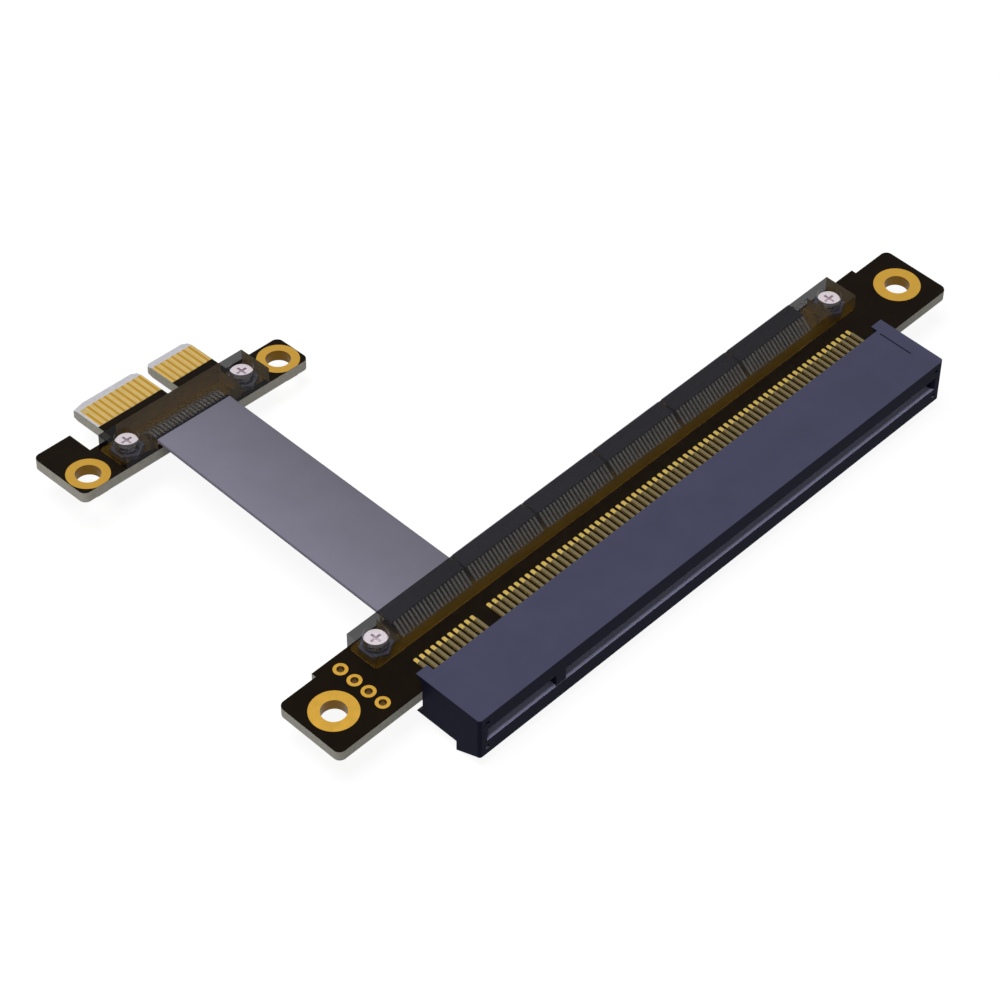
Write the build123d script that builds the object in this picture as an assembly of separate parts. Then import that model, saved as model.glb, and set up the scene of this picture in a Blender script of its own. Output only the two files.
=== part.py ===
"""Card edge extension cable: a short plug board, one flat ribbon and a long card socket.

The pieces are modelled from the socket board: x = 0 at the tips of its contact pads and
+X toward the card mouth, y = 0 at the first contact, z = 0 at the board's top face.
The plug end is modelled level with it, and then turned a little, as the soft ribbon lets it.
Each piece is then moved so that the origin is at the bottom centre of the whole cable.
"""
import os
from dataclasses import dataclass

from build123d import *

# Contacts and boards
BOARD_THICKNESS = 1.6
PLATING = 0.05
CONTACT_PITCH = 1.0
KEY_GAP = 3.0
NEAR_COUNT = 11
SLOT_FAR_COUNT = 71
PLUG_FAR_COUNT = 7

# Socket board
PAD_LENGTH = 4.5
SLOT_MAIN_LENGTH = 103.6
SLOT_EAR_LENGTH = 6.5
SLOT_BOARD_SHIFT = -0.45
SLOT_EAR_DEPTH = 11.13
SLOT_EAR_STEP = 0.75
SLOT_HOLE_END = 4.3
SLOT_HOLE_SETBACK = 5.5
EAR_CORNER_RADIUS = 1.0
MOUNT_HOLE_RADIUS = 1.75
SLOT_RING_RADIUS = 3.3
POWER_HOLE_COUNT = 4
POWER_PITCH = 2.54
POWER_HOLE_RADIUS = 0.55
POWER_ROW_GAP = 3.12
POWER_ROW_SETBACK = 2.2

# Socket housing
HOUSING_DEPTH = 10.07
HOUSING_END = 3.0
HOUSING_TOP = 2.55
HOUSING_HEIGHT = 7.15
HOUSING_CORNER = 0.5
CARD_SLOT_HEIGHT = 1.75
CARD_SLOT_DEPTH = 8.25
CARD_SLOT_END = 1.2
CARD_KEY_WIDTH = 1.75
LEAD_IN_DEPTH = 0.35
LEAD_IN_RISE = 0.18
LEAD_IN_END = 0.5
KEY_SETBACK = 1.3
PIT_SIZE = 0.6
PIT_DEPTH = 0.5
PIT_END = 1.6
PIT_RISE = 2.3
CHANNEL_HEIGHT = 0.9
CHANNEL_FRONT_WALL = 1.5
CHANNEL_SIDE = 0.5
LIP_LENGTH = 1.08
LIP_HEIGHT = 1.15
LIP_WIDTH = 2.0
FOOT_HEIGHT = 1.7
FOOT_LENGTH = 3.6
GROOVE_INSET = 2.1
GROOVE_LENGTH = 5.4
GROOVE_SETBACK = 0.7
GROOVE_WIDTH = 0.25
GROOVE_DEPTH = 0.2

# Socket contacts
CONTACT_WIDTH = 0.5
CONTACT_STRIP = 0.25
CONTACT_TAIL_SETBACK = 0.9
CONTACT_KNEE = 0.3
CONTACT_DIP = 0.4
CONTACT_NOSE_SETBACK = 2.2

# Plug board, with its own x from the finger tips toward the ribbon and y from its first finger
PLUG_Y = -0.81
PLUG_LEAD = 1.5
PLUG_DEPTH = 13.4
PLUG_EAR_LENGTH = 7.32
PLUG_EAR_BACK = 2.9
PLUG_NOTCH_X = 7.04
PLUG_NOTCH_LEFT = 4.45
TONGUE_MARGIN = 0.7
TONGUE_CUT_X = 0.65
TONGUE_CUT_Y = 2.1
TONGUE_CHAMFER = 0.6
KEY_NOTCH_WIDTH = 1.9
KEY_NOTCH_END = 7.0
KEY_NOTCH_ROUND = 0.8
PLUG_BEVEL_DEPTH = 0.45
PLUG_RING_RADIUS = 3.0
PLUG_RING_GAP = 1.22
PLUG_HOLE_SETBACK = 2.87
FINGER_LENGTH = 4.2
FINGER_WIDTH = 0.7
FIRST_FINGER_SETBACK = 1.07

# Ribbon cable
RIBBON_WIDTH = 12.95
RIBBON_THICKNESS = 0.8
RIBBON_HEIGHT = 1.1
RIBBON_SPAN = 42.27
RIBBON_Y = 7.65
RIBBON_PITCH = 13.17
RIBBON_COUNT = 6
STUB_LENGTH = 0.5

# How the plug end hangs on its ribbon, in degrees: a twist about X and a droop about Y
PLUG_TWIST = -4.0
PLUG_DROOP = -3.2

# Clear covers and the wires under them
COVER_HEIGHT = 2.55
COVER_WALL = 0.55
COVER_ROOF = 0.55
SLOT_COVER_DEPTH = 5.3
SLOT_COVER_LENGTH = 91.8
SLOT_COVER_SHIFT = -0.2
PLUG_COVER_DEPTH = 5.55
PLUG_COVER_LENGTH = 25.4
PLUG_COVER_LEFT = 3.5
RIBBON_INSET = 2.15
WIRE_COUNT = 20
WIRE_PITCH = 0.635
WIRE_WIDTH = 0.32
WIRE_THICKNESS = 0.3
WIRE_RUN = 1.6

# Fasteners
SCREW_INSET = 2.5
SCREW_RADIUS = 1.0
SCREW_CLEARANCE = 0.06
HEAD_RADIUS = 1.6
HEAD_HEIGHT = 0.85
HEAD_CHAMFER = 0.15
RECESS_LENGTH = 1.7
RECESS_WIDTH = 0.36
RECESS_DEPTH = 0.45
POCKET_CLEARANCE = 0.12
POCKET_WALL = 0.4
POCKET_FLOOR = 0.3
SEAT_GAP = 0.03
THREAD_GAP = 0.1
SPACER_ACROSS_FLATS = 4.0
SPACER_HEIGHT = 0.7
SPACER_CLEARANCE = 0.1

# Places that follow from the sizes above
ROW_GROUPS = (NEAR_COUNT - 1) * CONTACT_PITCH
SLOT_ROW = ROW_GROUPS + KEY_GAP + (SLOT_FAR_COUNT - 1) * CONTACT_PITCH
PLUG_ROW = ROW_GROUPS + KEY_GAP + (PLUG_FAR_COUNT - 1) * CONTACT_PITCH
KEY_Y = ROW_GROUPS + KEY_GAP / 2
SLOT_MIDDLE = SLOT_ROW / 2
SLOT_BOARD_MIDDLE = SLOT_MIDDLE + SLOT_BOARD_SHIFT
SLOT_BOARD_LENGTH = SLOT_MAIN_LENGTH + 2 * SLOT_EAR_LENGTH
SLOT_COVER_LOW = SLOT_MIDDLE + SLOT_COVER_SHIFT - SLOT_COVER_LENGTH / 2
BOARD_BOTTOM = -BOARD_THICKNESS
HOUSING_FRONT = PAD_LENGTH + HOUSING_DEPTH
HOUSING_BOTTOM = HOUSING_TOP - HOUSING_HEIGHT
CARD_MIDDLE = (HOUSING_TOP + HOUSING_BOTTOM) / 2
CARD_BOTTOM_X = HOUSING_FRONT - CARD_SLOT_DEPTH
SLOT_BACK = PAD_LENGTH - SLOT_EAR_DEPTH - SLOT_EAR_STEP
PLUG_FRONT = SLOT_BACK - RIBBON_SPAN
PLUG_X = PLUG_FRONT - PLUG_DEPTH
PLUG_COVER_LOW = PLUG_Y - PLUG_COVER_LEFT
PLUG_COVER_HIGH = PLUG_COVER_LOW + PLUG_COVER_LENGTH
RIBBON_TOP = RIBBON_HEIGHT + RIBBON_THICKNESS
RIBBON_MIDDLE = RIBBON_HEIGHT + RIBBON_THICKNESS / 2
COVER_SEAT = PLATING
FLOOR_LOW = SPACER_HEIGHT + SEAT_GAP
FLOOR_TOP = FLOOR_LOW + POCKET_FLOOR
FOOT_BOTTOM = HOUSING_BOTTOM - FOOT_HEIGHT


def block(x, y, z):
    """A box from its low and high ends along X, Y and Z."""
    low, high = zip(x, y, z)
    middle = [(a + b) / 2 for a, b in zip(low, high)]
    return Pos(*middle) * Box(*[b - a for a, b in zip(low, high)])


def across(outline, low, high):
    """The solid that an outline in X and Z makes between two places along Y."""
    face = make_face(Polyline(*outline, close=True))
    return Pos(0, high, 0) * extrude(Plane.XZ * face, high - low)


def pin(x, y, radius, low, high):
    """An upright cylinder between two heights."""
    return Pos(x, y, (low + high) / 2) * Cylinder(radius, high - low)


def hexagon(x, y, across_flats, low, high):
    """An upright hexagonal prism between two heights."""
    shape = RegularPolygon(across_flats / 2, 6, major_radius=False)
    return Pos(x, y, low) * extrude(shape, high - low)


def row(far_contacts):
    """The places of one row of contacts along Y: those before the key, and those after it."""
    near = [i * CONTACT_PITCH for i in range(NEAR_COUNT)]
    far = [near[-1] + KEY_GAP + i * CONTACT_PITCH for i in range(far_contacts)]
    return near, far


def below(shape):
    """The same shape on the other face of a board."""
    return Pos(0, 0, BOARD_BOTTOM) * mirror(shape, Plane.XY)


def plated_hole(x, y, radius, ring_radius):
    """The plating of one mounting hole: a barrel, with a ring on each face of the board."""
    low = BOARD_BOTTOM - PLATING
    barrel = pin(x, y, radius + PLATING, low, PLATING)
    rings = pin(x, y, ring_radius, low, BOARD_BOTTOM) + pin(x, y, ring_radius, 0, PLATING)
    return barrel + rings - pin(x, y, radius, low, PLATING)


def drill(board, holes, radius):
    """The board with a round hole at each place."""
    for x, y in holes:
        board -= pin(x, y, radius, BOARD_BOTTOM, 0)
    return board


def slot_mount_holes():
    """The places of the two mounting holes in the ears of the socket board."""
    x = PAD_LENGTH - SLOT_HOLE_SETBACK
    half = SLOT_BOARD_LENGTH / 2 - SLOT_HOLE_END
    return [(x, SLOT_BOARD_MIDDLE - half), (x, SLOT_BOARD_MIDDLE + half)]


def power_holes():
    """The places of the row of power holes beside the socket's cover."""
    last = PAD_LENGTH - POWER_ROW_SETBACK
    y = SLOT_COVER_LOW - POWER_ROW_GAP
    return [(last - i * POWER_PITCH, y) for i in range(POWER_HOLE_COUNT)]


def plug_mount_holes():
    """The places of the two mounting holes at the ends of the plug board."""
    x = PLUG_FRONT - PLUG_HOLE_SETBACK
    reach = PLUG_RING_GAP + PLUG_RING_RADIUS
    return [(x, PLUG_COVER_LOW - reach), (x, PLUG_COVER_HIGH + reach)]


@dataclass
class Joint:
    """The joint between a board and its ribbons, from the face where the ribbons enter.

    Along X it is measured into the joint, so the plug's pieces are turned round.
    """
    depth: float
    low: float
    high: float
    ribbons: list
    x: float
    turned: bool

    def place(self, shape):
        if self.turned:
            shape = mirror(shape, Plane.YZ)
        return Pos(self.x, 0, 0) * shape

    def screws_at(self):
        middle = self.depth / 2
        return [(middle, self.low + SCREW_INSET), (middle, self.high - SCREW_INSET)]

    def wires_at(self):
        first = -(WIRE_COUNT - 1) * WIRE_PITCH / 2
        return [y + first + i * WIRE_PITCH for y in self.ribbons for i in range(WIRE_COUNT)]


def slot_joint():
    ribbons = [RIBBON_Y + i * RIBBON_PITCH for i in range(RIBBON_COUNT)]
    high = SLOT_COVER_LOW + SLOT_COVER_LENGTH
    return Joint(SLOT_COVER_DEPTH, SLOT_COVER_LOW, high, ribbons, SLOT_BACK, False)


def plug_joint():
    return Joint(PLUG_COVER_DEPTH, PLUG_COVER_LOW, PLUG_COVER_HIGH, [RIBBON_Y], PLUG_FRONT, True)


def cover(joint):
    """A clear cover: hollow over the wires, solid at the screws, with a doorway for each ribbon."""
    wall = COVER_WALL
    head_room = HEAD_RADIUS + POCKET_CLEARANCE
    solid_end = SCREW_INSET + head_room + POCKET_WALL
    body = block((0, joint.depth), (joint.low, joint.high), (COVER_SEAT, COVER_HEIGHT))
    body -= block((wall, joint.depth - wall), (joint.low + solid_end, joint.high - solid_end),
                  (COVER_SEAT, COVER_HEIGHT - COVER_ROOF))
    for x, y in joint.screws_at():
        body -= hexagon(x, y, SPACER_ACROSS_FLATS + 2 * SPACER_CLEARANCE, COVER_SEAT, FLOOR_LOW)
        body -= pin(x, y, SCREW_RADIUS + SCREW_CLEARANCE, FLOOR_LOW, FLOOR_TOP)
        body -= pin(x, y, head_room, FLOOR_TOP, COVER_HEIGHT)
    for y in joint.ribbons:
        sides = (y - RIBBON_WIDTH / 2, y + RIBBON_WIDTH / 2)
        body -= block((0, wall), sides, (COVER_SEAT, RIBBON_TOP))
    return joint.place(body)


def wires(joint):
    """The flat wires, each running down from the end of its ribbon to the board."""
    level = RIBBON_HEIGHT + (RIBBON_THICKNESS - WIRE_THICKNESS) / 2
    outline = [(RIBBON_INSET, level), (RIBBON_INSET + WIRE_RUN, 0),
               (RIBBON_INSET + WIRE_RUN + WIRE_THICKNESS, 0), (RIBBON_INSET, level + WIRE_THICKNESS)]
    half = WIRE_WIDTH / 2
    wire = across(outline, -half, half)
    return joint.place(Compound([Pos(0, y, 0) * wire for y in joint.wires_at()]))


def screw(x, y):
    """A pan head screw with a cross recess, seated on the pocket floor and held by the spacer."""
    head = pin(x, y, HEAD_RADIUS, FLOOR_TOP, FLOOR_TOP + HEAD_HEIGHT)
    head = chamfer(head.edges().sort_by(Axis.Z)[-1], HEAD_CHAMFER)
    half, width = RECESS_LENGTH / 2, RECESS_WIDTH / 2
    depth = (FLOOR_TOP + HEAD_HEIGHT - RECESS_DEPTH, FLOOR_TOP + HEAD_HEIGHT)
    head -= block((x - half, x + half), (y - width, y + width), depth)
    head -= block((x - width, x + width), (y - half, y + half), depth)
    return head + pin(x, y, SCREW_RADIUS, THREAD_GAP, FLOOR_TOP)


def screws(joint):
    return joint.place(Compound([screw(x, y) for x, y in joint.screws_at()]))


def spacers(joint):
    """The threaded hexagonal spacers, soldered to the board, that take the cover's screws."""
    bore = SCREW_RADIUS + SCREW_CLEARANCE
    solids = [hexagon(x, y, SPACER_ACROSS_FLATS, 0, SPACER_HEIGHT)
              - pin(x, y, bore, 0, SPACER_HEIGHT) for x, y in joint.screws_at()]
    return joint.place(Compound(solids))


def slot_board():
    """The long socket board, with narrower ears that carry the mounting holes."""
    half, main = SLOT_BOARD_LENGTH / 2, SLOT_MAIN_LENGTH / 2
    middle, thick = SLOT_BOARD_MIDDLE, (BOARD_BOTTOM, 0)
    board = block((PAD_LENGTH - SLOT_EAR_DEPTH, PAD_LENGTH), (middle - half, middle + half), thick)
    board += block((SLOT_BACK, PAD_LENGTH), (middle - main, middle + main), thick)
    upright = board.edges().filter_by(Axis.Z).group_by(Axis.Y)
    board = fillet(upright[0] + upright[-1], EAR_CORNER_RADIUS)
    board = drill(board, slot_mount_holes(), MOUNT_HOLE_RADIUS + PLATING)
    return drill(board, power_holes(), POWER_HOLE_RADIUS)


def slot_hole_platings():
    """The plated mounting holes of the socket board."""
    return Compound([plated_hole(x, y, MOUNT_HOLE_RADIUS, SLOT_RING_RADIUS)
                     for x, y in slot_mount_holes()])


def contacts(card_face, places):
    """A group of contacts: a flat tail on the board, then a spring that leans into the card slot."""
    path = Polyline((CONTACT_TAIL_SETBACK, 0), (CARD_BOTTOM_X + CONTACT_KNEE, 0),
                    (HOUSING_FRONT - CONTACT_NOSE_SETBACK, card_face - CONTACT_DIP))
    outline = offset(path, CONTACT_STRIP, side=Side.LEFT, kind=Kind.INTERSECTION)
    half = CONTACT_WIDTH / 2
    contact = Pos(0, half, 0) * extrude(Plane.XZ * make_face(outline), CONTACT_WIDTH)
    return Compound([Pos(0, y, 0) * contact for y in places])


def card_slot():
    """The card slot: two cavities beside the key, and the wide lead-in at the mouth."""
    low, high = -CARD_SLOT_END, SLOT_ROW + CARD_SLOT_END
    half = CARD_SLOT_HEIGHT / 2
    heights = (CARD_MIDDLE - half, CARD_MIDDLE + half)
    depth = (CARD_BOTTOM_X, HOUSING_FRONT)
    key = CARD_KEY_WIDTH / 2
    slot = block(depth, (low, KEY_Y - key), heights) + block(depth, (KEY_Y + key, high), heights)
    slot += block((HOUSING_FRONT - KEY_SETBACK, HOUSING_FRONT), (low, high), heights)
    width, height = high - low, CARD_SLOT_HEIGHT
    inner = Plane((HOUSING_FRONT - LEAD_IN_DEPTH, SLOT_MIDDLE, CARD_MIDDLE), (0, 1, 0), (1, 0, 0))
    outer = Plane((HOUSING_FRONT, SLOT_MIDDLE, CARD_MIDDLE), (0, 1, 0), (1, 0, 0))
    narrow = inner * Rectangle(width, height)
    wide = outer * Rectangle(width + 2 * LEAD_IN_END, height + 2 * LEAD_IN_RISE)
    return slot + loft([narrow, wide])


def channels():
    """The hollows above and below the card slot that the contact springs lie in."""
    half = CARD_SLOT_HEIGHT / 2
    front = HOUSING_FRONT - CHANNEL_FRONT_WALL
    roof = max(CARD_MIDDLE + half, 0) + CHANNEL_HEIGHT
    floor = min(CARD_MIDDLE - half, BOARD_BOTTOM) - CHANNEL_HEIGHT
    spans = [(-CHANNEL_SIDE, KEY_Y - KEY_GAP / 2 + CHANNEL_SIDE),
             (KEY_Y + KEY_GAP / 2 - CHANNEL_SIDE, SLOT_ROW + CHANNEL_SIDE)]
    hollows = []
    for span in spans:
        hollows.append(block((PAD_LENGTH, CARD_BOTTOM_X), span, (0, roof)))
        hollows.append(block((PAD_LENGTH, CARD_BOTTOM_X), span, (floor, BOARD_BOTTOM)))
        hollows.append(block((CARD_BOTTOM_X, front), span, (floor, roof)))
    return hollows


def pits():
    """The four small pits in the front face, above and below each end of the card slot."""
    half = PIT_SIZE / 2
    return [block((HOUSING_FRONT - PIT_DEPTH, HOUSING_FRONT), (y - half, y + half), (z - half, z + half))
            for y in (-PIT_END, SLOT_ROW + PIT_END)
            for z in (CARD_MIDDLE - PIT_RISE, CARD_MIDDLE + PIT_RISE)]


def slot_housing():
    """The moulded socket body, with end lips that straddle the board and two end feet."""
    low, high = -HOUSING_END, SLOT_ROW + HOUSING_END
    body = block((PAD_LENGTH, HOUSING_FRONT), (low, high), (HOUSING_BOTTOM, HOUSING_TOP))
    front_corners = body.edges().filter_by(Axis.Z).group_by(Axis.X)[-1]
    body = fillet(front_corners, HOUSING_CORNER)
    top_lip = [(PAD_LENGTH, HOUSING_TOP), (PAD_LENGTH - LIP_LENGTH, HOUSING_TOP),
               (PAD_LENGTH, HOUSING_TOP - LIP_HEIGHT)]
    bottom_lip = [(PAD_LENGTH, HOUSING_BOTTOM), (PAD_LENGTH - LIP_LENGTH, HOUSING_BOTTOM),
                  (PAD_LENGTH, HOUSING_BOTTOM + LIP_HEIGHT)]
    foot_front = HOUSING_FRONT - HOUSING_CORNER
    foot = [(foot_front - FOOT_LENGTH, HOUSING_BOTTOM), (foot_front, HOUSING_BOTTOM),
            (foot_front - FOOT_LENGTH, FOOT_BOTTOM)]
    for start in (low, high - LIP_WIDTH):
        for outline in (top_lip, bottom_lip, foot):
            body += across(outline, start, start + LIP_WIDTH)
    body -= card_slot()
    for hollow in channels():
        body -= hollow
    for pit in pits():
        body -= pit
    groove_x = PAD_LENGTH + GROOVE_SETBACK
    groove_y = high - GROOVE_INSET
    body -= block((groove_x, groove_x + GROOVE_LENGTH), (groove_y - GROOVE_WIDTH, groove_y),
                  (HOUSING_TOP - GROOVE_DEPTH, HOUSING_TOP))
    return body


def plug_outline():
    """The outline of the plug board: two ears, a wide tongue, the key notch and a narrow tongue."""
    key = KEY_NOTCH_WIDTH / 2
    left, right = -TONGUE_MARGIN, PLUG_ROW + TONGUE_MARGIN
    bottom = PLUG_COVER_LOW - PLUG_EAR_LENGTH - PLUG_Y
    top = PLUG_COVER_HIGH + PLUG_EAR_LENGTH - PLUG_Y
    lead, cut = -PLUG_LEAD, TONGUE_CHAMFER
    points = [
        (lead, left + TONGUE_CUT_Y), (lead, KEY_Y - key - cut), (lead + cut, KEY_Y - key),
        (KEY_NOTCH_END, KEY_Y - key), (KEY_NOTCH_END, KEY_Y + key),
        (lead + cut, KEY_Y + key), (lead, KEY_Y + key + cut),
        (lead, right - cut), (lead + cut, right), (PLUG_NOTCH_X, right), (PLUG_NOTCH_X, top),
        (PLUG_DEPTH, top), (PLUG_DEPTH, bottom), (PLUG_EAR_BACK, bottom),
        (PLUG_EAR_BACK, -PLUG_NOTCH_LEFT), (PLUG_NOTCH_X, -PLUG_NOTCH_LEFT),
        (PLUG_NOTCH_X, left), (lead + TONGUE_CUT_X, left)]
    return make_face(Polyline(*points, close=True))


def plug_board():
    """The plug board, with a bevel on the lead edge of both tongues."""
    board = Pos(0, 0, BOARD_BOTTOM) * extrude(plug_outline(), BOARD_THICKNESS)
    upright = board.edges().filter_by(Axis.Z)
    notch = upright.sort_by_distance((KEY_NOTCH_END, KEY_Y, 0))[:2]
    board = fillet(notch, KEY_NOTCH_ROUND)
    ends = board.edges().filter_by(Axis.Z).group_by(Axis.Y)
    board = fillet(ends[0] + ends[-1], EAR_CORNER_RADIUS)
    wedge = [(-PLUG_LEAD, 0), (0, 0), (-PLUG_LEAD, -PLUG_BEVEL_DEPTH)]
    bevel = across(wedge, -TONGUE_MARGIN, PLUG_ROW + TONGUE_MARGIN)
    board = board - bevel - below(bevel)
    return drill(Pos(PLUG_X, PLUG_Y, 0) * board, plug_mount_holes(), MOUNT_HOLE_RADIUS + PLATING)


def plug_fingers():
    """The gold fingers on the top of the two tongues; the first one is shorter."""
    half = FINGER_WIDTH / 2
    starts = {0: FIRST_FINGER_SETBACK}
    near, far = row(PLUG_FAR_COUNT)
    fingers = [block((starts.get(y, 0), FINGER_LENGTH), (y - half, y + half), (0, PLATING))
               for y in near + far]
    return Pos(PLUG_X, PLUG_Y, 0) * Compound(fingers)


def plug_hole_platings():
    """The plated mounting holes, whose rings run out over the board's ribbon edge."""
    edge = block((PLUG_X, PLUG_FRONT),
                 (PLUG_COVER_LOW - PLUG_EAR_LENGTH, PLUG_COVER_HIGH + PLUG_EAR_LENGTH),
                 (BOARD_BOTTOM - PLATING, PLATING))
    return Compound([plated_hole(x, y, MOUNT_HOLE_RADIUS, PLUG_RING_RADIUS) & edge
                     for x, y in plug_mount_holes()])


def ribbon(start, end, y):
    """A level stretch of flat ribbon."""
    half = RIBBON_WIDTH / 2
    return block((start, end), (y - half, y + half), (RIBBON_HEIGHT, RIBBON_TOP))


def hang(shape):
    """Turns a piece of the plug end about the point where the ribbon leaves its cover."""
    turn = Rot(0, PLUG_DROOP, 0) * Rot(PLUG_TWIST, 0, 0)
    hinge = Pos(PLUG_FRONT, RIBBON_Y, RIBBON_MIDDLE)
    return hinge * turn * hinge.inverse() * shape


def ribbon_cable():
    """The ribbon: level under the socket's cover, turned under the plug's, twisted between."""
    section = Plane.YZ * Rectangle(RIBBON_WIDTH, RIBBON_THICKNESS)
    start = Pos(SLOT_BACK, RIBBON_Y, RIBBON_MIDDLE) * section
    end = hang(Pos(PLUG_FRONT, RIBBON_Y, RIBBON_MIDDLE) * section)
    span = loft([start, end], ruled=True)
    slot_end = ribbon(SLOT_BACK, SLOT_BACK + RIBBON_INSET, RIBBON_Y)
    plug_end = hang(ribbon(PLUG_FRONT - RIBBON_INSET, PLUG_FRONT, RIBBON_Y))
    return span + slot_end + plug_end


def ribbon_stubs(joint):
    """The cut ends of the other ribbons, held under the socket's cover."""
    return Compound([ribbon(SLOT_BACK - STUB_LENGTH, SLOT_BACK + RIBBON_INSET, y)
                     for y in joint.ribbons[1:]])


def pieces():
    """Every piece of the cable by name, each in its place beside the others."""
    slot, plug = slot_joint(), plug_joint()
    half = CARD_SLOT_HEIGHT / 2
    top_face = CARD_MIDDLE + half
    bottom_face = BOARD_BOTTOM - (CARD_MIDDLE - half)
    made = {
        "slot_board": slot_board(),
        "slot_hole_platings": slot_hole_platings(),
        "slot_housing": slot_housing(),
        "plug_board": plug_board(),
        "plug_fingers_top": plug_fingers(),
        "plug_fingers_bottom": below(plug_fingers()),
        "plug_hole_platings": plug_hole_platings(),
        "ribbon_cable": ribbon_cable(),
        "ribbon_stubs": ribbon_stubs(slot),
    }
    for group, places in zip(("near", "far"), row(SLOT_FAR_COUNT)):
        made["slot_contacts_top_" + group] = contacts(top_face, places)
        made["slot_contacts_bottom_" + group] = below(contacts(bottom_face, places))
    for name, joint in (("slot", slot), ("plug", plug)):
        made[name + "_cover"] = cover(joint)
        made[name + "_wires"] = wires(joint)
        made[name + "_screws"] = screws(joint)
        made[name + "_spacers"] = spacers(joint)
    return {node: hang(shape) if node.startswith("plug") else shape for node, shape in made.items()}


made = pieces()
box = Compound(list(made.values())).bounding_box()
to_origin = Pos(-box.center().X, -box.center().Y, -box.min.Z)
os.makedirs("parts", exist_ok=True)
for node, shape in made.items():
    export_step(to_origin * shape, f"parts/{node}.step")
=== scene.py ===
"""Dresses the card extension cable: boards, contacts, ribbon, covers, fasteners and studio."""
import math

import bpy
from bpy.props import FloatProperty, FloatVectorProperty, IntProperty, PointerProperty
from mathutils import Matrix, Vector


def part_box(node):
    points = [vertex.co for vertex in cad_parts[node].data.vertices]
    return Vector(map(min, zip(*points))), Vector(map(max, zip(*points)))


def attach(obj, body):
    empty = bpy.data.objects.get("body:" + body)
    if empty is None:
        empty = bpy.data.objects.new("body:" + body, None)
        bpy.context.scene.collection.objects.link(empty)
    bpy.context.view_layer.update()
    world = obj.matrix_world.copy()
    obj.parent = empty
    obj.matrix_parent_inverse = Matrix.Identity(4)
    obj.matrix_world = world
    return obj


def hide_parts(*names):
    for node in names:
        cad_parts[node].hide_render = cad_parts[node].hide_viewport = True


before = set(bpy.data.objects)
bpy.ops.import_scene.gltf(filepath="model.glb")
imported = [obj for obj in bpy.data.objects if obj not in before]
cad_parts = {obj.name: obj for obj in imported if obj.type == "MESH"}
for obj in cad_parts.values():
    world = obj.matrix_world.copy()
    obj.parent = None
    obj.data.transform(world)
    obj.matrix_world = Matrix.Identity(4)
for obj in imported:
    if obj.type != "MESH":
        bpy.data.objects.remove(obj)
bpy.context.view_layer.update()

bl_info = {
    "name": "Card Extension Cable",
    "version": (1, 0, 0),
    "blender": (4, 5, 0),
    "location": "View3D > Sidebar > Cable",
    "description": "Finishes, small parts and studio of a card extension cable",
    "category": "Object",
}

MM = 0.001
# Points closer than this lie at the same place
NEAR = 0.01 * MM
# A face is square to an axis where its normal reaches this far along it
SQUARE = 0.98
# A face whose normal reaches only this far up or down is a bevel
BEVELLED = 0.8
# Size of the plating's uneven patches, and how rough the smoothest and roughest of them are
PLATING = (1.2 * MM, 0.32, 0.42)


def linear(code):
    """A colour given as a hex code, as linear red, green and blue."""
    parts = [int(code[i:i + 2], 16) / 255 for i in (1, 3, 5)]
    return [c / 12.92 if c <= 0.04045 else ((c + 0.055) / 1.055) ** 2.4 for c in parts]


def length(name, value, description):
    """A length property in metres, from a value in millimetres."""
    return FloatProperty(name=name, default=value * MM, unit="LENGTH", precision=5,
                         description=description)


def share(name, value, description):
    """A property between 0 and 1."""
    return FloatProperty(name=name, subtype="FACTOR", default=value, min=0, max=1, precision=3,
                         description=description)


def colour(name, code, description):
    """A colour property, from a hex code."""
    return FloatVectorProperty(name=name, subtype="COLOR", size=3, min=0, max=1,
                               default=linear(code), description=description)


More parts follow.
